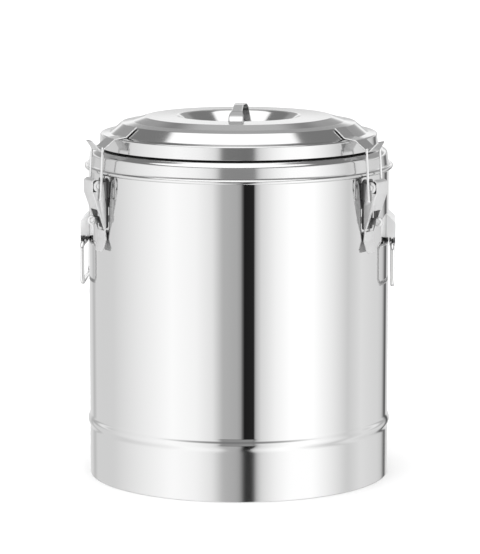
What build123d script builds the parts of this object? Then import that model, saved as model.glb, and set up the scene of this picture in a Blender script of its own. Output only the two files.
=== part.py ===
"""Insulated stainless-steel transport can: double wall, clamped lid, drop handles.

Millimetres, +Z up. The can stands on z = 0 with its axis on the Z axis. Its front faces -Y,
and its two carrying handles are on +X and -X. Sheet-metal bodies are revolved from their
section, and each latch and handle is drawn in the X-Z plane with +X pointing out of the can
wall, then turned about the can's axis to its place.
"""

import os
from math import atan2, degrees, hypot

from build123d import *

os.makedirs("parts", exist_ok=True)

# ---- driving dimensions -------------------------------------------------------------------

BODY_RADIUS = 185.0
WALL = 1.0                   # outer shell and base pan sheet
SHEET = 0.8                  # lid, collar and vessel sheet
BEAD_HEIGHT = 68.0           # middle of the swage above the skirt
BEAD_DEPTH = 2.4
FOOT_ROUND = 0.7
SHELL_TOP = 382.0
HEM_HEIGHT = 8.0

LIP_RADIUS = 190.0           # rolled lip of the collar
LIP_Z = 383.6
LIP_ROLL = 2.75
SEAT_Z = 405.6               # flat top of the collar, where the lid's gasket rests

VESSEL_RADIUS = 150.0        # inside of the inner vessel
VESSEL_FLOOR = 48.0
VESSEL_BEND = 22.0
MOUTH_RADIUS = VESSEL_RADIUS + SHEET + 0.02   # the collar's mouth fits round the vessel
PAN_Z = 17.2                 # upper face of the base pan

LID_TOP_Z = 444.5            # inner edge of the lid's flat ring
DISH_DEPTH = 20.0            # of the bowl under the lid's strap
DISH_FLOOR_RADIUS = 48.6
LID_RIM_RADIUS = 171.5
LID_RIM_Z = 407.7            # lower edge of the lid's rim band
PLUG_Z = 385.0               # lowest face of the lid's inner pan
GASKET_HEIGHT = 2.8

STRAP_SHEET = 1.8
STRAP_FOOT_HALF = 9.2        # half the width of the strap's feet
STRAP_PEAK = 13.0            # of the strap's line over the ring, before the crown is rounded

LATCH_OFFSET = 30.7          # degrees from the side handles' axis to each front latch
HOOK_SHEET = 1.5
HOOK_HALF_WIDTH = 12.4
HOOK_TIP_HALF_WIDTH = 7.0
HOOK_SLACK = 1.9             # from the crossbar down to the sharp corner of the valley
LATCH_SHEET = 1.2
BAIL_WIRE = 1.5              # radius
BAIL_HALF_WIDTH = 15.3       # to the middle of each strand
BAIL_TOP = (192.4, 414.7)    # middle of the crossbar, over the hook's valley
BAIL_PIVOT = (195.9, 352.3)  # where the bail's ends turn in the lever
LEVER_PIVOT = (196.6, 368.7)
LEVER_HALF_WIDTH = 12.0
PIN_RADIUS = 2.0
RUNNING_GAP = 0.06           # radial clearance of every turning fit

HANDLE_ROD = 2.75            # radius
HANDLE_HALF_WIDTH = 50.0
HANDLE_PIVOT = (189.6, 290.4)
HANDLE_DROP = 48.5
BRACKET_HALF_WIDTH = 34.0
BRACKET_SHEET = 1.2

LATCHES = {"front_right": -LATCH_OFFSET, "rear": 90, "front_left": 180 + LATCH_OFFSET}
HANDLES = {"right": 0, "left": 180}


# ---- helpers ------------------------------------------------------------------------------

def write(shape, node):
    """Writes one sub-part."""
    export_step(shape, f"parts/{node}.step")


def section(points):
    """A closed outline in the X-Z plane as a face."""
    return Plane.XZ * make_face(Polyline(*points, close=True))


def strip_section(points, bends, thickness):
    """The cut edge of a bent sheet: its middle line with a bend radius at each inner point."""
    line = FilletPolyline(*points, radius=bends)
    return Plane.XZ * trace(line, line_width=thickness)


def revolved(face):
    """A full turn about the can's axis."""
    return revolve(face, Axis.Z, 360)


def across(face, half_width):
    """A section in the X-Z plane made solid on both sides of it."""
    return extrude(face, amount=half_width, both=True)


def disc_along_y(centre, radius, half_width):
    """A solid disc about an axis parallel to Y."""
    place = Plane(origin=(centre[0], 0, centre[1]), z_dir=(0, 1, 0))
    return extrude(place * Circle(radius), amount=half_width, both=True)


def round_wire(points, radius, wire_radius):
    """A wire bent along a path of straight runs with rounded corners."""
    path = FilletPolyline(*points, radius=radius)
    start = Plane(origin=path @ 0, z_dir=path % 0)
    return sweep(start * Circle(wire_radius), path=path)


def place_around(shape, angle):
    """Turns a part drawn at +X about the can's axis."""
    return Rot(0, 0, angle) * shape


def single(shape):
    """The one solid of a shape."""
    return shape.solid()


# ---- body of the can ----------------------------------------------------------------------

def outer_shell():
    """Outer wall: hemmed foot, skirt, swaged bead and straight wall in one sheet."""
    inner = BODY_RADIUS - WALL
    hem_inner = inner - WALL
    bead_half = 9.0
    bead_low = BEAD_HEIGHT - bead_half
    bead_high = BEAD_HEIGHT + bead_half
    outside = Line((BODY_RADIUS, FOOT_ROUND), (BODY_RADIUS, bead_low))
    bead_out = Spline(
        (BODY_RADIUS, bead_low),
        (BODY_RADIUS + BEAD_DEPTH, BEAD_HEIGHT),
        (BODY_RADIUS, bead_high),
        tangents=((0, 1), (0, 1)),
    )
    upper_out = Line((BODY_RADIUS, bead_high), (BODY_RADIUS, SHELL_TOP))
    top = Line((BODY_RADIUS, SHELL_TOP), (inner, SHELL_TOP))
    upper_in = Line((inner, SHELL_TOP), (inner, bead_high))
    bead_in = Spline(
        (inner, bead_high),
        (inner + BEAD_DEPTH, BEAD_HEIGHT),
        (inner, bead_low),
        tangents=((0, -1), (0, -1)),
    )
    hem = Polyline(
        (inner, bead_low),
        (inner, HEM_HEIGHT),
        (hem_inner, HEM_HEIGHT),
        (hem_inner, 0.4),
        (hem_inner + 0.4, 0),
        (BODY_RADIUS - FOOT_ROUND, 0),
    )
    foot = RadiusArc((BODY_RADIUS - FOOT_ROUND, 0), (BODY_RADIUS, FOOT_ROUND), -FOOT_ROUND)
    outline = [outside, bead_out, upper_out, top, upper_in, bead_in, hem, foot]
    return single(revolved(Plane.XZ * make_face(outline)))


def base_pan():
    """Flanged disc that closes the double wall underneath, inside the skirt."""
    radius = BODY_RADIUS - WALL - 0.1
    middle = [
        (0, PAN_Z - WALL / 2),
        (radius - WALL / 2, PAN_Z - WALL / 2),
        (radius - WALL / 2, HEM_HEIGHT + 1),
    ]
    return single(revolved(strip_section(middle, 3, WALL)))


def top_collar():
    """Rolled lip, shoulder and mouth of the can."""
    half = SHEET / 2
    seat = SEAT_Z - half
    middle = [
        (LIP_RADIUS - LIP_ROLL - 1.5, LIP_Z),
        (BODY_RADIUS - 0.8, LIP_Z + 3.9),
        (183.0 - half, 401.2),
        (176.6, seat - 0.4),
        (170.5, seat),
        (MOUTH_RADIUS + half, seat),
        (MOUTH_RADIUS + half, SEAT_Z - 11),
    ]
    sheet = revolved(strip_section(middle, [1, 5.5, 2.5, 3, 1.6], SHEET))
    roll = revolved(Plane.XZ * Pos(LIP_RADIUS - LIP_ROLL, LIP_Z) * Circle(LIP_ROLL))
    shell_seam = revolved(section([
        (BODY_RADIUS - WALL - 2, LIP_Z - 6),
        (BODY_RADIUS + 0.02, LIP_Z - 6),
        (BODY_RADIUS + 0.02, SHELL_TOP + 0.02),
        (BODY_RADIUS - WALL - 2, SHELL_TOP + 0.02),
    ]))
    return single(sheet + roll - shell_seam)


def inner_vessel():
    """Deep-drawn pot that holds the food or drink."""
    wall_middle = VESSEL_RADIUS + SHEET / 2
    middle = [
        (0, VESSEL_FLOOR - SHEET / 2),
        (wall_middle, VESSEL_FLOOR - SHEET / 2),
        (wall_middle, SEAT_Z - 2),
    ]
    return single(revolved(strip_section(middle, VESSEL_BEND, SHEET)))


def body_insulation():
    """Foam filling between the vessel and the outer wall."""
    gap = 0.3
    outer = BODY_RADIUS - WALL - gap
    top = SEAT_Z - 12
    filling = revolved(section([
        (0, PAN_Z + gap),
        (outer - 3, PAN_Z + gap),
        (outer, PAN_Z + 3),
        (outer, SHELL_TOP - 4),
        (175, top),
        (0, top),
    ]))
    under = VESSEL_FLOOR - SHEET - gap
    hollow = Pos(0, 0, under) * Cylinder(
        VESSEL_RADIUS + SHEET + gap,
        400,
        align=(Align.CENTER, Align.CENTER, Align.MIN),
    )
    hollow = fillet(hollow.edges().group_by(Axis.Z)[0], VESSEL_BEND)
    return single(filling - hollow)


# ---- lid ----------------------------------------------------------------------------------

def lid_cover():
    """Stepped outer lid: bowl-shaped centre, two slopes and a rim band."""
    half = SHEET / 2
    dish_floor = LID_TOP_Z - DISH_DEPTH - half
    middle = [
        (0, dish_floor),
        (DISH_FLOOR_RADIUS, dish_floor),
        (73.5, LID_TOP_Z - half),
        (115, LID_TOP_Z - half - 0.6),
        (130.5, 438.8 - half),
        (144, 436.4 - half),
        (158.3, 424.8 - half),
        (LID_RIM_RADIUS - half - 1.3, 423.8 - half),
        (LID_RIM_RADIUS - half, LID_RIM_Z),
    ]
    bends = [20, 10, 3, 3, 2, 2, 1.8]
    return single(revolved(strip_section(middle, bends, SHEET)))


def lid_liner():
    """Inner pan of the lid: a shallow plug that hangs in the can's mouth."""
    half = SHEET / 2
    flange = SEAT_Z + GASKET_HEIGHT + half
    middle = [
        (0, PLUG_Z + half),
        (146.8, PLUG_Z + half),
        (148.4, flange),
        (LID_RIM_RADIUS - SHEET - 0.4, flange),
    ]
    return single(revolved(strip_section(middle, [8, 2.5], SHEET)))


def lid_insulation():
    """Foam slab between the lid's two sheets."""
    low = PLUG_Z + SHEET + 0.4
    flange = SEAT_Z + GASKET_HEIGHT + SHEET + 0.3
    under_dish = LID_TOP_Z - DISH_DEPTH - SHEET - 1.4
    return single(revolved(section([
        (0, low),
        (137.5, low),
        (144.5, low + 5),
        (146.2, flange),
        (LID_RIM_RADIUS - 2.6, flange),
        (LID_RIM_RADIUS - 4, 421.4),
        (156.6, 422.6),
        (142.6, 434.2),
        (129.6, 436.6),
        (113.5, 441.6),
        (75.5, 442.2),
        (71.5, 440.4),
        (DISH_FLOOR_RADIUS + 4.6, under_dish + 3.4),
        (DISH_FLOOR_RADIUS - 8, under_dish),
        (0, under_dish),
    ])))


def lid_gasket():
    """Flat silicone ring with a raised inner bead, under the flange of the lid's pan."""
    top = SEAT_Z + GASKET_HEIGHT
    return single(revolved(section([
        (154, SEAT_Z),
        (165.5, SEAT_Z),
        (166.5, SEAT_Z + 1),
        (166.5, top),
        (152.5, top),
        (152.5, SEAT_Z + 1),
    ])))


def lid_handle():
    """Arched strap over the lid's bowl; its flared ends are cut flush with the ring and welded."""
    knee = LID_TOP_Z + STRAP_SHEET / 2 + 7.6
    side = FilletPolyline(
        (-78.5, LID_TOP_Z - 1.58),
        (-61.0, knee),
        (0, LID_TOP_Z + STRAP_PEAK),
        (61.0, knee),
        (78.5, LID_TOP_Z - 1.58),
        radius=[38, 110, 38],
    )
    strap = across(Plane.YZ * trace(side, line_width=STRAP_SHEET), 12)
    edge = [(-80, STRAP_FOOT_HALF), (-70, STRAP_FOOT_HALF), (-56, 6.9), (-36, 6.2), (0, 5.9)]
    near = [(half_width, y) for y, half_width in edge]
    near += [(half_width, -y) for y, half_width in reversed(edge[:-1])]
    outline = near + [(-x, y) for x, y in reversed(near)]
    weld_level = LID_TOP_Z - 0.04
    plan = extrude(make_face(Polyline(*outline, close=True)), amount=500)
    return single(strap & plan & Pos(0, 0, weld_level + 20) * Box(200, 200, 40))


def lid_hook():
    """Strip welded on the lid's slope that reaches past the lip and turns up into a catch."""
    half = HOOK_SHEET / 2
    middle = [
        (145.8, 436.3 + half),
        (159.4, 425.1 + half),
        (174.6, 423.2 + half),
        (BAIL_TOP[0] + 0.1, BAIL_TOP[1] - BAIL_WIRE - half - HOOK_SLACK),
        (203.4, 423.2),
    ]
    strip = across(strip_section(middle, [3, 3.2, 2.9], HOOK_SHEET), 20)
    valley = BAIL_TOP[0] + 1
    plan = extrude(make_face(Polyline(
        (140, -HOOK_HALF_WIDTH),
        (valley, -HOOK_HALF_WIDTH),
        (204, -HOOK_TIP_HALF_WIDTH),
        (204, HOOK_TIP_HALF_WIDTH),
        (valley, HOOK_HALF_WIDTH),
        (140, HOOK_HALF_WIDTH),
        close=True,
    )), amount=500)
    return single(strip & plan)


# ---- latches ------------------------------------------------------------------------------

EAR_HALF_WIDTH = LEVER_HALF_WIDTH - LATCH_SHEET - 0.3   # outer faces of the base's ears
STAPLE_Z = 327.0
STAPLE_EYE = 200.5           # outward place of the padlock eye
STAPLE_EYE_RADIUS = 2.6
STAPLE_NECK = 4.1            # half height, through the lever's window
STAPLE_HEAD = 5.8            # radius round the eye


def latch_base():
    """Plate welded to the wall, with two ears for the lever and a staple for a padlock."""
    back = BODY_RADIUS + 0.05
    plate = Pos(back + LATCH_SHEET / 2, 0, 347) * Box(LATCH_SHEET, 2 * EAR_HALF_WIDTH, 60)
    plate = fillet(plate.edges().filter_by(Axis.X), 3)
    ear_side = section([
        (back, LEVER_PIVOT[1] + 4.8),
        (LEVER_PIVOT[0] + 2.4, LEVER_PIVOT[1] + 4.8),
        (LEVER_PIVOT[0] + 4.6, LEVER_PIVOT[1]),
        (LEVER_PIVOT[0] + 2, LEVER_PIVOT[1] - 5.1),
        (back, LEVER_PIVOT[1] - 17),
    ])
    ears = across(ear_side, EAR_HALF_WIDTH) - across(ear_side, EAR_HALF_WIDTH - LATCH_SHEET)
    ears -= disc_along_y(LEVER_PIVOT, PIN_RADIUS + 0.01, 20)
    staple = across(section([
        (back, STAPLE_Z - STAPLE_NECK),
        (STAPLE_EYE, STAPLE_Z - STAPLE_NECK),
        (STAPLE_EYE, STAPLE_Z + STAPLE_NECK),
        (back, STAPLE_Z + STAPLE_NECK),
    ]), 1)
    staple += disc_along_y((STAPLE_EYE, STAPLE_Z), STAPLE_HEAD, 1)
    staple -= disc_along_y((STAPLE_EYE, STAPLE_Z), STAPLE_EYE_RADIUS, 5)
    return single(plate + ears + staple)


def latch_pin():
    """Headed rivet that the lever turns on."""
    head_face = LEVER_HALF_WIDTH + 0.08
    pin = disc_along_y(LEVER_PIVOT, PIN_RADIUS, head_face)
    heads = disc_along_y(LEVER_PIVOT, 3.3, head_face + 1.1)
    heads -= disc_along_y(LEVER_PIVOT, 5, head_face)
    return single(pin + heads)


def latch_lever():
    """Channel-shaped lever: face with a window, two cheeks and a flared finger tab."""
    half = LATCH_SHEET / 2
    face_top = 204.7
    middle = [
        (face_top - 4.2, 377.9),
        (face_top, 375.2),
        (face_top, 361.5),
        (188.0, 315.0),
        (186.3, 303.5),
        (191.6, 288.7),
    ]
    bent = strip_section(middle, [3, 14, 10, 6], LATCH_SHEET)
    face = across(bent, LEVER_HALF_WIDTH)
    front_view = extrude(Plane.YZ * make_face(Polyline(
        (-LEVER_HALF_WIDTH, 380),
        (-LEVER_HALF_WIDTH, 318),
        (-11, 308),
        (-11, 292),
        (-7.5, 288),
        (7.5, 288),
        (11, 292),
        (11, 308),
        (LEVER_HALF_WIDTH, 318),
        (LEVER_HALF_WIDTH, 380),
        close=True,
    )), amount=250)
    window = Pos(195, 0, 327.3) * Box(40, 18, 26)
    face = face & front_view - window
    cheek_side = section([
        (LEVER_PIVOT[0] - 6.8, LEVER_PIVOT[1] - 1),
        (LEVER_PIVOT[0], LEVER_PIVOT[1] - 6.6),
        (face_top, 361.9),
        (face_top, 361.5),
        (188.0, 315.0),
        (187.3, 315.0),
        (187.3, 345),
    ])
    cheek_side += Plane.XZ * Pos(*LEVER_PIVOT) * Circle(6.8)
    cheeks = across(cheek_side, LEVER_HALF_WIDTH)
    cheeks -= across(cheek_side, LEVER_HALF_WIDTH - LATCH_SHEET)
    cheeks -= disc_along_y(LEVER_PIVOT, PIN_RADIUS + RUNNING_GAP, 20)
    cheeks -= disc_along_y(BAIL_PIVOT, BAIL_WIRE + RUNNING_GAP, 20)
    return single(face + cheeks)


def latch_bail():
    """Wire loop: its ends turn in the lever's cheeks and its crossbar lies in the lid's hook."""
    end = LEVER_HALF_WIDTH - LATCH_SHEET - 1.2
    low = (BAIL_PIVOT[0], BAIL_PIVOT[1])
    high = (BAIL_TOP[0], BAIL_TOP[1])
    return single(round_wire([
        (low[0], -end, low[1]),
        (low[0], -BAIL_HALF_WIDTH, low[1]),
        (high[0], -BAIL_HALF_WIDTH, high[1]),
        (high[0], BAIL_HALF_WIDTH, high[1]),
        (low[0], BAIL_HALF_WIDTH, low[1]),
        (low[0], end, low[1]),
    ], 2.2, BAIL_WIRE))


# ---- side handles -------------------------------------------------------------------------

def handle_bracket():
    """Pressed hood with closed sides, rolled at its lower edge round the handle's top bar."""
    half = BRACKET_SHEET / 2
    roll = HANDLE_ROD + RUNNING_GAP + half
    x, z = HANDLE_PIVOT
    front = x + roll
    skin = Plane.XZ * trace(FilletPolyline(
        (178, 331),
        (front, 316.5),
        (front, z),
        radius=5,
    ), line_width=BRACKET_SHEET)
    knuckle = Plane.XZ * Pos(x, z) * (Circle(roll + half) - Circle(roll - half))
    opening = section([(x, z), (front - half, z), (front - half, z + 9), (x - 5, z + 9)])
    strip = across(skin + (knuckle - opening), BRACKET_HALF_WIDTH)
    side_plate = section([
        (178, 331),
        (front, 316.5),
        (front, z + 8),
        (178, z + 8),
    ])
    outer_skin = Plane.XZ * trace(Polyline((178, 331), (front, 316.5)), line_width=0.01)
    sides = across(side_plate - outer_skin, BRACKET_HALF_WIDTH)
    sides -= across(side_plate, BRACKET_HALF_WIDTH - BRACKET_SHEET)
    wall = Cylinder(BODY_RADIUS + 0.04, 300, align=(Align.CENTER, Align.CENTER, Align.MIN))
    return single(strip + sides - Pos(0, 0, 200) * wall)


def side_handle():
    """Closed rod loop that hangs from the bracket's knuckle."""
    x, z = HANDLE_PIVOT
    low = z - HANDLE_DROP
    w = HANDLE_HALF_WIDTH
    half_loop = round_wire(
        [(x, 0, z), (x, w, z), (x, w, low), (x, 0, low)], 9, HANDLE_ROD
    )
    return single(half_loop + mirror(half_loop, about=Plane.XZ))


# ---- write every sub-part -----------------------------------------------------------------

def report_closing_action():
    """Prints how far over centre the latch stands and how much its bail stretches."""
    arm = hypot(BAIL_PIVOT[0] - LEVER_PIVOT[0], BAIL_PIVOT[1] - LEVER_PIVOT[1])
    reach = hypot(BAIL_TOP[0] - LEVER_PIVOT[0], BAIL_TOP[1] - LEVER_PIVOT[1])
    length = hypot(BAIL_TOP[0] - BAIL_PIVOT[0], BAIL_TOP[1] - BAIL_PIVOT[1])
    lean = degrees(atan2(BAIL_PIVOT[0] - BAIL_TOP[0], BAIL_TOP[1] - BAIL_PIVOT[1]))
    print(f"bail {length:.2f} mm, lean {lean:.2f} deg, stretch {arm + reach - length:.2f} mm")


def main():
    write(outer_shell(), "outer_shell")
    write(base_pan(), "base_pan")
    write(top_collar(), "top_collar")
    write(inner_vessel(), "inner_vessel")
    write(body_insulation(), "body_insulation")
    write(lid_cover(), "lid_cover")
    write(lid_liner(), "lid_liner")
    write(lid_insulation(), "lid_insulation")
    write(lid_gasket(), "lid_gasket")
    write(lid_handle(), "lid_handle")
    latch_parts = {
        "lid_hook": lid_hook(),
        "latch_base": latch_base(),
        "latch_pin": latch_pin(),
        "latch_lever": latch_lever(),
        "latch_bail": latch_bail(),
    }
    for place, angle in LATCHES.items():
        for name, shape in latch_parts.items():
            write(place_around(shape, angle), f"{name}_{place}")
    handle_parts = {"handle_bracket": handle_bracket(), "side_handle": side_handle()}
    for place, angle in HANDLES.items():
        for name, shape in handle_parts.items():
            write(place_around(shape, angle), f"{name}_{place}")
    report_closing_action()


main()
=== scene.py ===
"""Looks of an insulated stainless-steel transport can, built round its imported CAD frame.

Metres, +Z up, front towards -Y; outlines are drawn in millimetres. Sheets that are turned about
the can's axis are rebuilt as fine lathe meshes from their sections, wires and straps are swept,
and the pressed latch parts keep their CAD shape with softened edges. The floor is plain and
pale. The metal mirrors a studio of soft boxes, a grey card and a thin black flag.
"""

from math import ceil, cos, pi, radians, sin, tan

import bmesh
import bpy
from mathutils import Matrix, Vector


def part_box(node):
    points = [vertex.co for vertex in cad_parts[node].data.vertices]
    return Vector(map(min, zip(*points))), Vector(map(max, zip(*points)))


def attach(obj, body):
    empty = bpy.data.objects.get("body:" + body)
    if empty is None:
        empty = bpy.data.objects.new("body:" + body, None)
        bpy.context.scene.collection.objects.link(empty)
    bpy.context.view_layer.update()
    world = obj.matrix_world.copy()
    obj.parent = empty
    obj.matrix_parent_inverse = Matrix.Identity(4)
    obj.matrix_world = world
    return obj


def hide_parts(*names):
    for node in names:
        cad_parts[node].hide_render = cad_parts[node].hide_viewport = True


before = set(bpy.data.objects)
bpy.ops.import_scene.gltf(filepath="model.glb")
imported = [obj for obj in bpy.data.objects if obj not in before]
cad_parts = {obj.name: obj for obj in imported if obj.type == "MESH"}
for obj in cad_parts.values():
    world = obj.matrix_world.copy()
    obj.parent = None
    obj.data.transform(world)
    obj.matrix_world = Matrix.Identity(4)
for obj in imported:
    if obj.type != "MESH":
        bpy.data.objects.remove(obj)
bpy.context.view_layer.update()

# ---- driving dimensions -------------------------------------------------------------------

MM = 0.001
WALL = 1.0                   # outer shell and base pan sheet
SHEET = 0.8                  # lid, collar and vessel sheet
TURN_SEGMENTS = 360          # faces round every turned piece
BEND_STEP = radians(8)       # of turn for each face in a bend
SHARP_ANGLE = radians(40)    # edges that turn more than this shade sharp
PRESSED_EDGE = radians(35)   # edges of pressed parts that turn more than this are rounded


def top_of(node):
    """Height of a CAD node's highest point, in millimetres."""
    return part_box(node)[1].z / MM


def bottom_of(node):
    """Height of a CAD node's lowest point, in millimetres."""
    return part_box(node)[0].z / MM


def radius_of(node):
    """Largest radius of a turned CAD node, in millimetres."""
    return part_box(node)[1].x / MM


BEAD_DEPTH = 2.4
BEAD_LOW = 59.0
BEAD_HIGH = 77.0
BODY_RADIUS = radius_of("outer_shell") - BEAD_DEPTH
SHELL_TOP = top_of("outer_shell")

LIP_RADIUS = radius_of("top_collar")
LIP_Z = 383.6
LIP_ROLL = 2.75              # radius of the rolled lip's section
SEAT_Z = top_of("top_collar")
VESSEL_RADIUS = radius_of("inner_vessel")
VESSEL_FLOOR = bottom_of("inner_vessel")
VESSEL_BEND = 22.0
FIT_GAP = 0.02               # between the collar's mouth and the vessel

LID_RIM_RADIUS = radius_of("lid_cover")
LID_TOP = top_of("lid_cover")
LID_RIM_Z = bottom_of("lid_cover")
BOWL_DEPTH = 20.0
BOWL_FLOOR_RADIUS = 48.6
STRAP_SHEET = 1.8
STRAP_REACH = 77.2           # from the axis to the strap's ends, which are sunk in their weld
STRAP_PEAK = 13.0            # of the strap's line over the ring, before the crown is rounded
STRAP_FOOT_HALF = 9.2        # half the width of the strap's feet
STRAP_KNEE = (61.0, 8.5)     # where each leg turns into the crown: from the axis, over the ring

HOOK_SHEET = 1.5
HOOK_HALF_WIDTH = 12.4
HOOK_TIP_HALF_WIDTH = 7.0
HOOK_VALLEY = 192.5          # from the axis to the hook's lowest point
HOOK_TIP = 203.4
BAIL_WIRE = 1.5              # radius
BAIL_HALF_WIDTH = 15.3
BAIL_PIVOT = (195.9, 352.3)
BAIL_TOP = (192.4, 414.7)
HANDLE_ROD = 2.75            # radius
HANDLE_PIVOT = (189.6, 290.4)
HANDLE_DROP = 48.5
HANDLE_HALF_WIDTH = 50.0

LATCH_ANGLES = {"front_right": -30.7, "rear": 90, "front_left": 210.7}
HANDLE_ANGLES = {"right": 0, "left": 180}


# ---- outlines and paths -------------------------------------------------------------------

def rounded(points, bends):
    """A line through points, flat or in space, with an arc of the given radius at each corner."""
    points = [Vector(point) for point in points]
    line = [points[0]]
    for before, corner, after, bend in zip(points, points[1:], points[2:], bends):
        way_in = (corner - before).normalized()
        way_out = (after - corner).normalized()
        turn = way_in.angle(way_out)
        reach = bend * tan(turn / 2)
        start = corner - way_in * reach
        end = corner + way_out * reach
        centre = corner + (way_out - way_in).normalized() * (bend / cos(turn / 2))
        steps = max(2, ceil(turn / BEND_STEP))
        for k in range(steps + 1):
            share = k / steps
            from_start = sin((1 - share) * turn) / sin(turn)
            from_end = sin(share * turn) / sin(turn)
            line.append(centre + (start - centre) * from_start + (end - centre) * from_end)
    line.append(points[-1])
    return line


def closed_rounded(points, bends):
    """A closed outline with an arc at every corner; bends starts at the first point."""
    line = rounded(points[-1:] + points + points[:1], bends)
    return line[1:-1]


def with_supports(outline):
    """Adds points close to the ends of each long run, so that flat stretches shade flat."""
    margin = 0.3
    result = []
    for here, after in zip(outline, outline[1:] + outline[:1]):
        run = after - here
        result.append(here)
        if run.length > 4 * margin:
            result.append(here + run.normalized() * margin)
            result.append(after - run.normalized() * margin)
    return result


def side_direction(before, here, after):
    """Unit direction square to a flat line at one of its points, lengthened at corners."""
    way_in = (here - before).normalized() if here != before else (after - here).normalized()
    way_out = (after - here).normalized() if here != after else way_in
    along = (way_in + way_out).normalized()
    square = Vector((-along.y, along.x))
    return square / max(0.5, along.dot(way_out))


def sheet_outline(line, thickness):
    """Closed outline of a sheet with the given middle line; its cut edges are rounded."""
    half = thickness / 2
    before = [line[0]] + line[:-1]
    after = line[1:] + [line[-1]]
    sides = [side_direction(*three) for three in zip(before, line, after)]
    left = [point + side * half for point, side in zip(line, sides)]
    right = [point - side * half for point, side in zip(line, sides)]
    end = line[-1] - line[-2]
    start = line[0] - line[1]
    outline = left + edge_round(left[-1], right[-1], end, half) + right[::-1]
    if line[0].x > MM:
        outline += edge_round(right[0], left[0], start, half)
    return with_supports(outline)


def edge_round(first, last, outward, bulge):
    """Points of a half-round cut edge between the two faces of a sheet."""
    middle = (first + last) / 2
    across = (first - last) / 2
    ahead = outward.normalized() * bulge * 0.6
    turns = [k * pi / 5 for k in range(1, 5)]
    return [middle + across * cos(turn) + ahead * sin(turn) for turn in turns]


def bulge_line(low, high, depth, steps=24):
    """A swaged bead: a smooth swelling of the wall between two points."""
    return [
        low.lerp(high, k / steps) + Vector((depth * (1 - cos(2 * pi * k / steps)) / 2, 0))
        for k in range(steps + 1)
    ]


# ---- mesh builders ------------------------------------------------------------------------

def finished(name, surface):
    """An object of a bmesh, which is used up, shaded smooth with its sharp edges marked."""
    mesh = bpy.data.meshes.new(name)
    surface.to_mesh(mesh)
    surface.free()
    mesh.shade_smooth()
    mesh.set_sharp_from_angle(angle=SHARP_ANGLE)
    piece = bpy.data.objects.new(name, mesh)
    bpy.context.scene.collection.objects.link(piece)
    return piece


def skinned(name, vertices, faces):
    """An object of the given faces, turned outwards."""
    surface = bmesh.new()
    corners = [surface.verts.new(vertex) for vertex in vertices]
    for face in faces:
        surface.faces.new([corners[k] for k in face])
    bmesh.ops.recalc_face_normals(surface, faces=surface.faces)
    return finished(name, surface)


def lathe(name, outline):
    """Turns a closed outline of (radius, height) in millimetres about the can's axis."""
    vertices = []
    rings = []
    for radius, height in outline:
        if radius < MM:
            rings.append([len(vertices)] * TURN_SEGMENTS)
            vertices.append((0, 0, height * MM))
            continue
        rings.append(list(range(len(vertices), len(vertices) + TURN_SEGMENTS)))
        for k in range(TURN_SEGMENTS):
            angle = 2 * pi * k / TURN_SEGMENTS
            vertices.append((radius * cos(angle) * MM, radius * sin(angle) * MM, height * MM))
    faces = []
    for ring, following in zip(rings, rings[1:] + rings[:1]):
        if ring[0] == ring[-1] and following[0] == following[-1]:
            continue
        for k in range(TURN_SEGMENTS):
            j = (k + 1) % TURN_SEGMENTS
            corners = [ring[k], ring[j], following[j], following[k]]
            faces.append(list(dict.fromkeys(corners)))
    return skinned(name, vertices, faces)


def swept(name, rings, closed):
    """Skins rings of points, all in millimetres, with equal counts; open ends are capped."""
    sides = len(rings[0])
    vertices = [point * MM for ring in rings for point in ring]
    faces = []
    last = len(rings) if closed else len(rings) - 1
    for r in range(last):
        near = r * sides
        far = (r + 1) % len(rings) * sides
        for k in range(sides):
            j = (k + 1) % sides
            faces.append((near + k, near + j, far + j, far + k))
    if not closed:
        faces.append(tuple(range(sides)))
        faces.append(tuple(range(last * sides, (last + 1) * sides)))
    return skinned(name, vertices, faces)


def wire(name, path, radius, closed=False, sides=28):
    """A round wire along a path that lies in one plane."""
    flat_normal = next(
        (b - a).cross(c - b)
        for a, b, c in zip(path, path[1:], path[2:])
        if (b - a).cross(c - b).length > 1e-3
    ).normalized()
    rings = []
    for k, here in enumerate(path):
        before = path[k - 1] if k or closed else here
        after = path[(k + 1) % len(path)] if k < len(path) - 1 or closed else here
        along = (after - before).normalized()
        aside = along.cross(flat_normal).normalized()
        rings.append([
            here + (aside * cos(2 * pi * s / sides) + flat_normal * sin(2 * pi * s / sides)) * radius
            for s in range(sides)
        ])
    return swept(name, rings, closed)


def strip(name, line, half_widths, thickness, turned, soft_edge=0.0):
    """A bent strip: a middle line of (outward, height), and a half width at each of its points.

    soft_edge is the radius of the long edges on the upper side, if it is more than usual.
    """
    half = thickness / 2
    edge = half * 0.75
    upper_edge = max(edge, soft_edge)
    lower_edge = min(edge, thickness - upper_edge - 0.05)
    before = [line[0]] + line[:-1]
    after = line[1:] + [line[-1]]
    rings = []
    for three, width in zip(zip(before, line, after), half_widths):
        square = side_direction(*three)
        section = closed_rounded(
            [(width, half), (-width, half), (-width, -half), (width, -half)],
            [upper_edge, upper_edge, lower_edge, lower_edge],
        )
        section = with_supports(section)
        rings.append([
            Vector((three[1].x + square.x * rise, aside, three[1].y + square.y * rise))
            for aside, rise in section
        ])
    piece = swept(name, rings, False)
    piece.rotation_euler.z = radians(turned)
    return piece


def softened(name, node, width):
    """A copy of a pressed CAD part with its flat faces made whole and its edges rounded."""
    surface = bmesh.new()
    surface.from_mesh(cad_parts[node].data)
    bmesh.ops.remove_doubles(surface, verts=surface.verts, dist=1e-6)
    bmesh.ops.dissolve_limit(
        surface, angle_limit=radians(1), verts=surface.verts, edges=surface.edges
    )
    corners = [e for e in surface.edges if e.is_manifold and e.calc_face_angle(0) > PRESSED_EDGE]
    bmesh.ops.bevel(
        surface,
        geom=corners,
        offset=width * MM,
        segments=3,
        profile=0.5,
        affect="EDGES",
        clamp_overlap=True,
        harden_normals=False,
    )
    return finished(name, surface)


# ---- node helpers -------------------------------------------------------------------------

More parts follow.
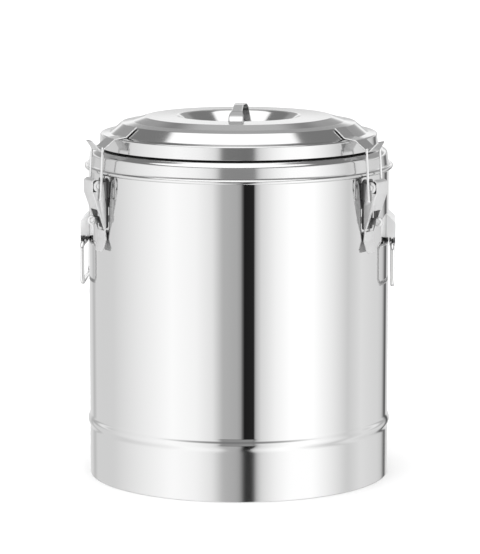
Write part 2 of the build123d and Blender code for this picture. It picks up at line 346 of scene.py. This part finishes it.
def new_material(name):
    """A node material and its Principled shader."""
    material = bpy.data.materials.new(name)
    material.use_nodes = True
    return material, material.node_tree.nodes["Principled BSDF"]


def add_node(tree, kind, settings=(), inputs=()):
    """A node with its properties and constant inputs set."""
    node = tree.nodes.new(kind)
    for key, value in dict(settings).items():
        setattr(node, key, value)
    for key, value in dict(inputs).items():
        node.inputs[key].default_value = value
    return node


def calc(tree, operation, *values):
    """A Math node on numbers or sockets, and its result."""
    node = add_node(tree, "ShaderNodeMath", {"operation": operation})
    for slot, value in zip(node.inputs, values):
        if isinstance(value, (int, float)):
            slot.default_value = value
        else:
            tree.links.new(value, slot)
    return node.outputs[0]


def length_of(tree, x, y):
    """Length of the flat vector (x, y)."""
    squares = calc(tree, "ADD", calc(tree, "MULTIPLY", x, x), calc(tree, "MULTIPLY", y, y))
    return calc(tree, "SQRT", squares)


def ease(tree, value, low, high, start=0.0, end=1.0):
    """A smooth step of value from start at low to end at high."""
    node = add_node(tree, "ShaderNodeMapRange", {"interpolation_type": "SMOOTHSTEP"})
    tree.links.new(value, node.inputs["Value"])
    for key, number in (("From Min", low), ("From Max", high), ("To Min", start), ("To Max", end)):
        node.inputs[key].default_value = number
    return node.outputs["Result"]


def blend(tree, share, first, second):
    """first where share is 0 and second where it is 1."""
    node = add_node(tree, "ShaderNodeMix", {"data_type": "FLOAT"})
    for slot, value in zip((node.inputs[0], node.inputs[2], node.inputs[3]), (share, first, second)):
        if isinstance(value, (int, float)):
            slot.default_value = value
        else:
            tree.links.new(value, slot)
    return node.outputs[0]


def grey_ramp(tree, value, stops):
    """A grey level from (place, level) stops, straight between them."""
    low = stops[0][0]
    span = stops[-1][0] - low
    ramp = add_node(tree, "ShaderNodeValToRGB")
    elements = ramp.color_ramp.elements
    while len(elements) < len(stops):
        elements.new(1.0)
    for element, (place, level) in zip(elements, stops):
        element.position = (place - low) / span
        element.color = (level, level, level, 1)
    tree.links.new(calc(tree, "DIVIDE", calc(tree, "SUBTRACT", value, low), span), ramp.inputs[0])
    return ramp.outputs[0]


# ---- materials ----------------------------------------------------------------------------

PATCH_SHARE = 0.4            # of wiped patches in the roughness, where the rest is grain
FINE_GRAIN = 1500            # scale of the grain across its lines
RING_GRAIN = 6.0             # scale of the grain round the can, for each radian
STRAIGHT_GRAIN = 60          # scale of the grain along a piece that isn't turned


def object_place(tree):
    """Where each point of a piece is, in metres."""
    return add_node(tree, "ShaderNodeTexCoord").outputs["Object"]


def object_axes(tree):
    """X, Y and Z of each point of a piece, in metres."""
    parts = add_node(tree, "ShaderNodeSeparateXYZ")
    tree.links.new(object_place(tree), parts.inputs[0])
    return parts.outputs


def noise(tree, place, scale, detail, roughness=0.5):
    """Soft noise from 0 to 1."""
    inputs = {"Scale": scale, "Detail": detail, "Roughness": roughness}
    node = add_node(tree, "ShaderNodeTexNoise", inputs=inputs)
    tree.links.new(place, node.inputs["Vector"])
    return node.outputs[0]


def emboss(tree, height, strength, distance):
    """Gives a material's shader a bump of the given strength and depth in metres."""
    bump = add_node(tree, "ShaderNodeBump", inputs={"Strength": strength, "Distance": distance})
    tree.links.new(height, bump.inputs["Height"])
    tree.links.new(bump.outputs[0], tree.nodes["Principled BSDF"].inputs["Normal"])


def ring_grain(tree):
    """Fine lines that run round the can's axis, as turning and polishing leave them."""
    x, y, z = object_axes(tree)
    radius = length_of(tree, x, y)
    angle = calc(tree, "ARCTAN2", y, x)
    place = add_node(tree, "ShaderNodeCombineXYZ")
    scaled = ((radius, FINE_GRAIN), (z, FINE_GRAIN), (angle, RING_GRAIN))
    for slot, (distance, scale) in zip(place.inputs, scaled):
        tree.links.new(calc(tree, "MULTIPLY", distance, scale), slot)
    return noise(tree, place.outputs[0], 1.0, 3.0, 0.6)


def straight_grain(tree):
    """Fine lines that run up a piece, as rolling leaves them."""
    scales = (FINE_GRAIN, FINE_GRAIN, STRAIGHT_GRAIN)
    stretch = add_node(tree, "ShaderNodeMapping", inputs={"Scale": scales})
    tree.links.new(object_place(tree), stretch.inputs["Vector"])
    return noise(tree, stretch.outputs[0], 1.0, 3.0)


def steel(name, grey, roughness, spread, grain, anisotropy=0.0, ring=True):
    """Stainless steel with a fine grain and soft, wiped patches.

    spread is how far the roughness wanders, and grain is how strongly the lines show.
    """
    material, shader = new_material(name)
    tree = material.node_tree
    shader.inputs["Metallic"].default_value = 1.0
    shader.inputs["Base Color"].default_value = (grey, grey, grey, 1)
    shader.inputs["Anisotropic"].default_value = anisotropy
    shader.inputs["Anisotropic Rotation"].default_value = 0.25
    if ring:
        lines = ring_grain(tree)
        tangent = add_node(tree, "ShaderNodeTangent", {"direction_type": "RADIAL", "axis": "Z"})
        tree.links.new(tangent.outputs[0], shader.inputs["Tangent"])
    else:
        lines = straight_grain(tree)
    patches = noise(tree, object_place(tree), 9.0, 4.0, 0.55)
    mixed = blend(tree, PATCH_SHARE, lines, patches)
    wander = calc(tree, "MULTIPLY", calc(tree, "SUBTRACT", mixed, 0.5), spread)
    tree.links.new(calc(tree, "ADD", wander, roughness), shader.inputs["Roughness"])
    emboss(tree, lines, grain, 0.02 * MM)
    return material


def blasted_steel(name, grey, metallic):
    """Pressed steel with a fine bead-blasted face, which scatters most of its light."""
    material = steel(name, grey, roughness=0.38, spread=0.08, grain=0.2, ring=False)
    material.node_tree.nodes["Principled BSDF"].inputs["Metallic"].default_value = metallic
    return material


def plate_steel_painted_shade():
    """Plate steel with painted shade: its colour is dark next to the wall and plain steel grey out on
    the staple's head.
    """
    material = steel("plate_steel_painted_shade", 0.3, roughness=0.30, spread=0.10, grain=0.2, ring=False)
    tree = material.node_tree
    x, y, _ = object_axes(tree)
    outward = calc(tree, "DIVIDE", length_of(tree, x, y), MM)
    # Painted shade: the colour darkens close to the wall, where the latch's channel lies in shade.
    colour = grey_ramp(tree, outward, [(188, 0.16), (192, 0.22), (197, 0.70), (206, 0.75)])
    tree.links.new(colour, tree.nodes["Principled BSDF"].inputs["Base Color"])
    return material


def soften_skirt(material):
    """Makes the wall a little less bright below its bead, where hands and floors rub it."""
    tree = material.node_tree
    shader = tree.nodes["Principled BSDF"]
    _, _, height = object_axes(tree)
    rubbed = ease(tree, height, 60 * MM, 76 * MM, 0.11, 0.0)
    polish = shader.inputs["Roughness"].links[0].from_socket
    tree.links.new(calc(tree, "ADD", polish, rubbed), shader.inputs["Roughness"])


def silicone():
    """Dark seal rubber with a faint moulded mottle."""
    material, shader = new_material("seal_silicone")
    tree = material.node_tree
    shader.inputs["Roughness"].default_value = 0.55
    mottle = noise(tree, object_place(tree), 400.0, 4.0)
    colour = grey_ramp(tree, mottle, [(0.0, 0.012), (1.0, 0.035)])
    tree.links.new(colour, shader.inputs["Base Color"])
    emboss(tree, mottle, 0.3, 0.05 * MM)
    return material


def foam():
    """Cream insulating foam with open cells."""
    material, shader = new_material("insulating_foam")
    tree = material.node_tree
    shader.inputs["Roughness"].default_value = 0.9
    cells = add_node(tree, "ShaderNodeTexVoronoi", inputs={"Scale": 700.0})
    tree.links.new(object_place(tree), cells.inputs["Vector"])
    colour = add_node(tree, "ShaderNodeMix", {"data_type": "RGBA"})
    colour.inputs[6].default_value = (0.78, 0.66, 0.40, 1)
    colour.inputs[7].default_value = (0.86, 0.77, 0.52, 1)
    tree.links.new(cells.outputs["Distance"], colour.inputs[0])
    tree.links.new(colour.outputs[2], shader.inputs["Base Color"])
    emboss(tree, cells.outputs["Distance"], 0.6, 0.4 * MM)
    return material


MIRROR = steel("mirror_steel", 0.67, roughness=0.012, spread=0.01, grain=0.015)
SATIN = steel("satin_steel", 0.66, roughness=0.13, spread=0.08, grain=0.2, anisotropy=0.35)
VESSEL = steel("vessel_steel", 0.63, roughness=0.22, spread=0.10, grain=0.35, anisotropy=0.5)
HOOD = blasted_steel("hood_steel", 0.96, metallic=0.62)
PRESSED = blasted_steel("lever_steel", 0.70, metallic=0.80)
CATCH = steel("catch_steel", 0.76, roughness=0.24, spread=0.10, grain=0.2, ring=False)
# The latch base plates carry painted shade next to the wall.
PLATE_PAINTED_SHADE = plate_steel_painted_shade()
STRAP = steel("strap_steel", 0.66, roughness=0.14, spread=0.08, grain=0.2, ring=False)
WIRE = steel("bright_wire_steel", 0.80, roughness=0.07, spread=0.05, grain=0.1, ring=False)
soften_skirt(MIRROR)
SILICONE = silicone()
FOAM = foam()


def dress(piece, material, slot, body, *nodes):
    """Gives a piece its material, sets it on its body and hides what it replaces; the slot argument is
    not used.
    """
    piece.data.materials.clear()
    piece.data.materials.append(material)
    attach(piece, body)
    if nodes:
        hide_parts(*nodes)
    return piece


# ---- turned sheets of the can -------------------------------------------------------------

def shell():
    """Outer wall: hemmed foot, skirt, swaged bead and straight wall."""
    inner = BODY_RADIUS - WALL
    hem_height = 8.0
    hem_edge = 0.4
    foot_bend = 0.9
    above_foot = 3.0
    outline = [Vector((BODY_RADIUS, above_foot))]
    outline += bulge_line(Vector((BODY_RADIUS, BEAD_LOW)), Vector((BODY_RADIUS, BEAD_HIGH)), BEAD_DEPTH)
    outline += [Vector((BODY_RADIUS, SHELL_TOP)), Vector((inner, SHELL_TOP))]
    outline += bulge_line(Vector((inner, BEAD_HIGH)), Vector((inner, BEAD_LOW)), BEAD_DEPTH)
    outline += [Vector((inner, hem_height + hem_edge)), Vector((inner - hem_edge, hem_height))]
    foot = rounded([
        (inner - WALL, hem_height),
        (inner - WALL, 0),
        (BODY_RADIUS, 0),
        (BODY_RADIUS, above_foot),
    ], [foot_bend, foot_bend])
    return lathe("shell_wall", with_supports(outline + foot[:-1]))


def collar():
    """Rolled lip, shoulder and mouth of the can."""
    half = SHEET / 2
    seat = SEAT_Z - half
    mouth = VESSEL_RADIUS + FIT_GAP + half
    points = [
        (LIP_RADIUS - LIP_ROLL - 1.5, LIP_Z),
        (BODY_RADIUS - 0.8, LIP_Z + 3.9),
        (183.0 - half, 401.2),
        (176.6, seat - 0.4),
        (170.5, seat),
        (mouth, seat),
        (mouth, SEAT_Z - 11),
    ]
    sheet = lathe("collar_shoulder", sheet_outline(rounded(points, [1, 5.5, 2.5, 3, 1.6]), SHEET))
    steps = 40
    turns = [2 * pi * k / steps for k in range(steps)]
    centre = Vector((LIP_RADIUS - LIP_ROLL, LIP_Z))
    ring = [centre + LIP_ROLL * Vector((cos(turn), sin(turn))) for turn in turns]
    return sheet, lathe("collar_lip", ring)


def vessel():
    """Deep-drawn inner pot."""
    middle = VESSEL_RADIUS - SHEET / 2
    floor = VESSEL_FLOOR + SHEET / 2
    line = rounded([(0, floor), (middle, floor), (middle, SEAT_Z - 2)], [VESSEL_BEND])
    return lathe("vessel_pot", sheet_outline(line, SHEET))


def pan():
    """Flanged disc under the double wall."""
    low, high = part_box("base_pan")
    radius = high.x / MM - WALL / 2
    level = high.z / MM - WALL / 2
    line = rounded([(0, level), (radius, level), (radius, low.z / MM)], [3])
    return lathe("base_closing_pan", sheet_outline(line, WALL))


# ---- lid ----------------------------------------------------------------------------------

def cover():
    """Stepped outer lid with its bowl, flat ring, two slopes and rim band."""
    half = SHEET / 2
    top = LID_TOP - half
    line = rounded([
        (0, top - BOWL_DEPTH),
        (BOWL_FLOOR_RADIUS, top - BOWL_DEPTH),
        (73.5, top),
        (115, top - 0.6),
        (130.5, top - 5.7),
        (144, top - 8.1),
        (158.3, top - 19.7),
        (LID_RIM_RADIUS - half - 1.3, top - 20.7),
        (LID_RIM_RADIUS - half, LID_RIM_Z),
    ], [20, 10, 3, 3, 2, 2, 1.8])
    return lathe("lid_outer", sheet_outline(line, SHEET))


def liner():
    """Inner pan of the lid."""
    half = SHEET / 2
    low = bottom_of("lid_liner") + half
    flange = top_of("lid_liner") - half
    line = rounded([
        (0, low),
        (146.8, low),
        (148.4, flange),
        (LID_RIM_RADIUS - SHEET - 0.4, flange),
    ], [8, 2.5])
    return lathe("lid_inner_pan", sheet_outline(line, SHEET))


def gasket():
    """Flat ring with a rounded inner bead."""
    low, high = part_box("lid_gasket")
    seat = low.z / MM
    top = high.z / MM
    outline = closed_rounded([
        (152.5, top),
        (152.5, seat + 1),
        (154, seat),
        (165.5, seat),
        (166.5, seat + 1),
        (166.5, top),
    ], [0.3, 0.6, 0.6, 0.4, 0.4, 0.3])
    return lathe("lid_seal", with_supports(outline))


def strap_line():
    """Side view of the lid's strap, from its front foot to its rear foot."""
    sunk = LID_TOP - 0.77
    knee_reach, knee_rise = STRAP_KNEE
    knee = LID_TOP + knee_rise
    return rounded([
        (-STRAP_REACH, sunk),
        (-knee_reach, knee),
        (0, LID_TOP + STRAP_PEAK),
        (knee_reach, knee),
        (STRAP_REACH, sunk),
    ], [38, 110, 38])


def denser(line, longest):
    """The same line with its long runs divided."""
    result = [line[0]]
    for here, after in zip(line, line[1:]):
        pieces = max(1, ceil((after - here).length / longest))
        result += [here.lerp(after, k / pieces) for k in range(1, pieces + 1)]
    return result


def strap():
    """Arched strap: flared welded feet and a narrow crown with soft edges."""
    line = denser(strap_line(), 2)
    crown_half = 5.9
    waist_half = 6.6
    waist_reach = 50.0
    flare_start = 46.0
    flare_length = 26.0

    def half_width(along):
        reach = abs(along)
        to_waist = min(1.0, reach / waist_reach)
        to_foot = max(0.0, min(1.0, (reach - flare_start) / flare_length))
        flare = to_foot * to_foot * (3 - 2 * to_foot)
        width = crown_half + (waist_half - crown_half) * to_waist
        return width + (STRAP_FOOT_HALF - waist_half) * flare

    widths = [half_width(point.x) for point in line]
    return strip("lid_strap", line, widths, STRAP_SHEET, 90, soft_edge=1.3)


def weld_dots():
    """Small tack welds at the corners of the strap's feet."""
    aside = STRAP_FOOT_HALF - 1.0
    ahead = STRAP_REACH + 0.8
    width, length, height = 1.2, 1.6, 0.9
    dot = bmesh.new()
    for foot in (-1, 1):
        for side in (-1, 1):
            made = bmesh.ops.create_icosphere(dot, subdivisions=3, radius=1.0)
            for vertex in made["verts"]:
                wobble = 1 + 0.12 * sin(5 * vertex.co.x + 3 * vertex.co.y * side)
                vertex.co = Vector((
                    side * aside + vertex.co.x * width * wobble,
                    foot * ahead + vertex.co.y * length * wobble,
                    LID_TOP + 0.3 + vertex.co.z * height,
                )) * MM
    return finished("strap_welds", dot)


def hook(place, angle):
    """Catch strip on the lid's slope, over its own valley and turned-up tip."""
    half = HOOK_SHEET / 2
    line = rounded([
        (145.8, 436.3 + half),
        (159.4, 425.1 + half),
        (174.6, 423.2 + half),
        (HOOK_VALLEY, 410.55),
        (HOOK_TIP, 423.2),
    ], [3, 3.2, 2.9])
    line = denser(line, 2.5)
    taper_end = HOOK_TIP + 0.6

    def half_width(out):
        taper = max(0.0, (out - HOOK_VALLEY) / (taper_end - HOOK_VALLEY))
        return HOOK_HALF_WIDTH + (HOOK_TIP_HALF_WIDTH - HOOK_HALF_WIDTH) * taper

    return strip(f"hook_{place}", line, [half_width(point.x) for point in line], HOOK_SHEET, angle)


# ---- latches and handles ------------------------------------------------------------------

def bail(place, angle):
    """Wire loop from the lever's cheeks over the hook's valley."""
    reach = BAIL_HALF_WIDTH
    end = 9.6
    low_x, low_z = BAIL_PIVOT
    high_x, high_z = BAIL_TOP
    path = rounded([
        (low_x, -end, low_z),
        (low_x, -reach, low_z),
        (high_x, -reach, high_z),
        (high_x, reach, high_z),
        (low_x, reach, low_z),
        (low_x, end, low_z),
    ], [2.2] * 4)
    piece = wire(f"bail_{place}_wire", path, BAIL_WIRE)
    piece.rotation_euler.z = radians(angle)
    return piece


def carrying_loop(place, angle):
    """Closed rod loop of a side handle."""
    x, top = HANDLE_PIVOT
    low = top - HANDLE_DROP
    wide = HANDLE_HALF_WIDTH
    half = rounded([(x, 0, top), (x, wide, top), (x, wide, low), (x, 0, low)], [9, 9])
    mirrored = [Vector((point.x, -point.y, point.z)) for point in half[::-1]]
    piece = wire(f"loop_{place}", half + mirrored[1:-1], HANDLE_ROD, closed=True)
    piece.rotation_euler.z = radians(angle)
    return piece


def build_can():
    """Every piece that stays with the can."""
    dress(shell(), MIRROR, "mirror_steel", "can", "outer_shell")
    sheet, lip = collar()
    dress(sheet, SATIN, "mirror_steel", "can", "top_collar")
    dress(lip, SATIN, "mirror_steel", "can")
    dress(vessel(), VESSEL, "satin_steel", "can", "inner_vessel")
    dress(pan(), VESSEL, "satin_steel", "can", "base_pan")


def build_lid():
    """Every piece that lifts with the lid."""
    dress(cover(), SATIN, "satin_steel", "lid", "lid_cover")
    dress(liner(), VESSEL, "satin_steel", "lid", "lid_liner")
    dress(gasket(), SILICONE, "silicone", "lid", "lid_gasket")
    dress(strap(), STRAP, "satin_steel", "lid", "lid_handle")
    dress(weld_dots(), STRAP, "satin_steel", "lid")


def build_latches():
    """The three over-centre latches and their catches."""
    for place, angle in LATCH_ANGLES.items():
        dress(hook(place, angle), CATCH, "satin_steel", "lid", f"lid_hook_{place}")
        dress(bail(place, angle), WIRE, "bright_wire", f"bail_{place}", f"latch_bail_{place}")
        parts = (("base", "can", PLATE_PAINTED_SHADE), ("pin", "can", PRESSED), ("lever", f"lever_{place}", PRESSED))
        for part, body, material in parts:
            node = f"latch_{part}_{place}"
            dress(softened(f"{part}_{place}", node, 0.3), material, "satin_steel", body, node)


def build_handles():
    """The two side handles."""
    for place, angle in HANDLE_ANGLES.items():
        node = f"handle_bracket_{place}"
        dress(softened(f"bracket_{place}", node, 0.4), HOOD, "satin_steel", "can", node)
        loop = carrying_loop(place, angle)
        dress(loop, WIRE, "bright_wire", f"handle_{place}", f"side_handle_{place}")


def dress_hidden_foam():
    """The sealed foam keeps its CAD shape and gets its own material."""
    for node in ("body_insulation", "lid_insulation"):
        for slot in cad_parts[node].material_slots:
            slot.material = FOAM


# ---- studio -------------------------------------------------------------------------------

CAMERA_SIDE = radians(2.65)   # the camera stands a little to the right of the front
CAMERA_DISTANCE = 3.652
CAMERA_HEIGHT = 0.808
CAMERA_LENS = 193.8           # millimetres, before a sensor 36 mm wide
SENSOR_WIDTH = 36
AIM_HEIGHT = 0.243
AIM_ASIDE = 0.0015

STUDIO_STRENGTH = 1.4         # steel gives back about two thirds of what it mirrors

# Brightness of the studio round the can, by degrees from the camera's side, + to the right.
SURROUND = [
    (-180, 0.60),
    (-156, 0.58),   # rear wall
    (-149, 0.44),   # seam between rear and left wall
    (-142, 0.62),
    (-112, 0.66),   # left wall
    (-82, 0.85),
    (-52, 1.03),    # middle of the left softbox
    (-33, 0.96),
    (-20, 0.80),
    (-12, 0.46),    # grey card beside the camera
    (-1, 0.41),
    (2.2, 0.30),
    (3.2, 0.012),   # black flag
    (11.6, 0.018),
    (12.8, 0.46),
    (17, 0.72),
    (28, 0.94),
    (40, 1.08),     # right softbox
    (58, 1.08),
    (76, 0.86),
    (92, 0.62),     # right wall
    (108, 0.75),
    (135, 0.65),
    (144, 0.55),
    (152, 0.09),    # dark edge of the right wall
    (156, 0.12),
    (160, 0.58),
    (180, 0.60),
]

# Brightness of the backdrop behind the can, by degrees above the horizon.
BACKDROP = [
    (0, 0.40),
    (3, 0.42),
    (4.4, 0.48),
    (5.8, 0.72),
    (8, 0.92),
    (9.5, 0.84),
    (12.5, 0.34),
    (22, 0.30),
    (40, 0.42),
]
REAR_TURN = (105, 145)        # degrees round from the camera, where the backdrop takes over

# The dark tripod and crew: degrees to each side of the lens, degrees up, and brightness.
CREW_EDGE = (11, 16)
CREW_TOP = (2, 7)
CREW_LEVELS = (0.13, 0.28)

# The ceiling. Places on it are measured sideways and ahead, in heights above the can.
CEILING_START = (24, 34)      # degrees up, where the walls end
CEILING_LEVEL = 0.19
BOOM_EDGE = (0.15, 0.30)      # half width of the arm that holds the overhead light
BOOM_REAR = (-0.6, -0.4)
BOOM_LEVEL = 0.44
OVERHEAD_PLACE = (-0.13, 0.25)
OVERHEAD_EDGE = (0.76, 0.84)  # radius of the round overhead light
OVERHEAD_LEVEL = 1.15


def camera():
    """A long lens at the front of the can, a little above it."""
    data = bpy.data.cameras.new("camera")
    data.lens = CAMERA_LENS
    data.sensor_width = SENSOR_WIDTH
    eye = bpy.data.objects.new("camera", data)
    right = Vector((cos(CAMERA_SIDE), sin(CAMERA_SIDE), 0))
    towards = Vector((sin(CAMERA_SIDE), -cos(CAMERA_SIDE), 0))
    eye.location = towards * CAMERA_DISTANCE + Vector((0, 0, CAMERA_HEIGHT))
    aim = right * AIM_ASIDE + Vector((0, 0, AIM_HEIGHT))
    eye.rotation_euler = (aim - eye.location).to_track_quat("-Z", "Y").to_euler()
    bpy.context.scene.collection.objects.link(eye)
    bpy.context.scene.camera = eye


def studio_level(tree):
    """Brightness that the metal sees in each direction."""
    parts = add_node(tree, "ShaderNodeSeparateXYZ")
    tree.links.new(add_node(tree, "ShaderNodeTexCoord").outputs["Generated"], parts.inputs[0])
    x, y, up = parts.outputs
    c = cos(CAMERA_SIDE)
    s = sin(CAMERA_SIDE)
    side = calc(tree, "ADD", calc(tree, "MULTIPLY", x, c), calc(tree, "MULTIPLY", y, s))
    front = calc(tree, "SUBTRACT", calc(tree, "MULTIPLY", x, s), calc(tree, "MULTIPLY", y, c))
    turn = calc(tree, "MULTIPLY", calc(tree, "ARCTAN2", side, front), 180 / pi)
    height = calc(tree, "MULTIPLY", calc(tree, "ARCSINE", up), 180 / pi)
    off_axis = calc(tree, "ABSOLUTE", turn)

    around = grey_ramp(tree, turn, SURROUND)
    behind = grey_ramp(tree, height, BACKDROP)
    rear = calc(tree, "MULTIPLY", ease(tree, off_axis, *REAR_TURN), ease(tree, height, -2, 2))
    level = blend(tree, rear, around, behind)

    beside_camera = calc(tree, "ABSOLUTE", calc(tree, "ADD", turn, 1))
    crew_width = ease(tree, beside_camera, *CREW_EDGE, 1, 0)
    crew = calc(tree, "MULTIPLY", crew_width, ease(tree, height, -4, -1))
    level = blend(tree, crew, level, ease(tree, height, *CREW_TOP, *CREW_LEVELS))

    above = calc(tree, "MAXIMUM", up, 0.02)
    across = calc(tree, "DIVIDE", side, above)
    ahead = calc(tree, "DIVIDE", front, above)
    boom_width = ease(tree, calc(tree, "ABSOLUTE", across), *BOOM_EDGE, 1, 0)
    boom = calc(tree, "MULTIPLY", boom_width, ease(tree, ahead, *BOOM_REAR, 1, 0))
    ceiling = blend(tree, boom, CEILING_LEVEL, BOOM_LEVEL)
    level = blend(tree, ease(tree, height, *CEILING_START), level, ceiling)

    light_side, light_ahead = OVERHEAD_PLACE
    from_side = calc(tree, "SUBTRACT", across, light_side)
    from_ahead = calc(tree, "SUBTRACT", ahead, light_ahead)
    from_light = length_of(tree, from_side, from_ahead)
    light_shape = ease(tree, from_light, *OVERHEAD_EDGE, 1, 0)
    overhead = calc(tree, "MULTIPLY", light_shape, ease(tree, up, 0.1, 0.3))
    return blend(tree, overhead, level, OVERHEAD_LEVEL)


def studio_world():
    """White to the eye, and a studio to the metal."""
    world = bpy.data.worlds.new("studio")
    world.use_nodes = True
    tree = world.node_tree
    output = tree.nodes["World Output"]
    room = tree.nodes["Background"]
    tree.links.new(studio_level(tree), room.inputs["Color"])
    room.inputs["Strength"].default_value = STUDIO_STRENGTH
    plain = add_node(tree, "ShaderNodeBackground", inputs={"Color": (1, 1, 1, 1), "Strength": 1.0})
    rays = add_node(tree, "ShaderNodeLightPath")
    choice = add_node(tree, "ShaderNodeMixShader")
    tree.links.new(rays.outputs["Is Camera Ray"], choice.inputs[0])
    tree.links.new(room.outputs[0], choice.inputs[1])
    tree.links.new(plain.outputs[0], choice.inputs[2])
    tree.links.new(choice.outputs[0], output.inputs["Surface"])
    bpy.context.scene.world = world


def floor():
    """A pale floor that runs out to the horizon."""
    reach = 40.0              # metres
    mesh = bpy.data.meshes.new("floor")
    corners = [(-reach, -reach, 0), (reach, -reach, 0), (reach, reach, 0), (-reach, reach, 0)]
    mesh.from_pydata(corners, [], [(0, 1, 2, 3)])
    plane = bpy.data.objects.new("floor", mesh)
    plane.location.z = -0.2 * MM
    material, shader = new_material("floor_paper")
    shader.inputs["Base Color"].default_value = (0.9, 0.9, 0.9, 1)
    shader.inputs["Roughness"].default_value = 0.8
    shader.inputs["Specular IOR Level"].default_value = 0.1
    mesh.materials.append(material)
    bpy.context.scene.collection.objects.link(plane)
    plane.visible_glossy = False


def floor_light():
    """A broad overhead light for the floor, which the metal doesn't mirror."""
    data = bpy.data.lights.new("floor_light", "SUN")
    data.energy = 1.9
    data.angle = radians(110)
    lamp = bpy.data.objects.new("floor_light", data)
    lamp.visible_glossy = False
    bpy.context.scene.collection.objects.link(lamp)


camera()
studio_world()
floor()
floor_light()
build_can()
build_lid()
build_latches()
build_handles()
dress_hidden_foam()
bpy.context.scene.view_settings.view_transform = "Standard"
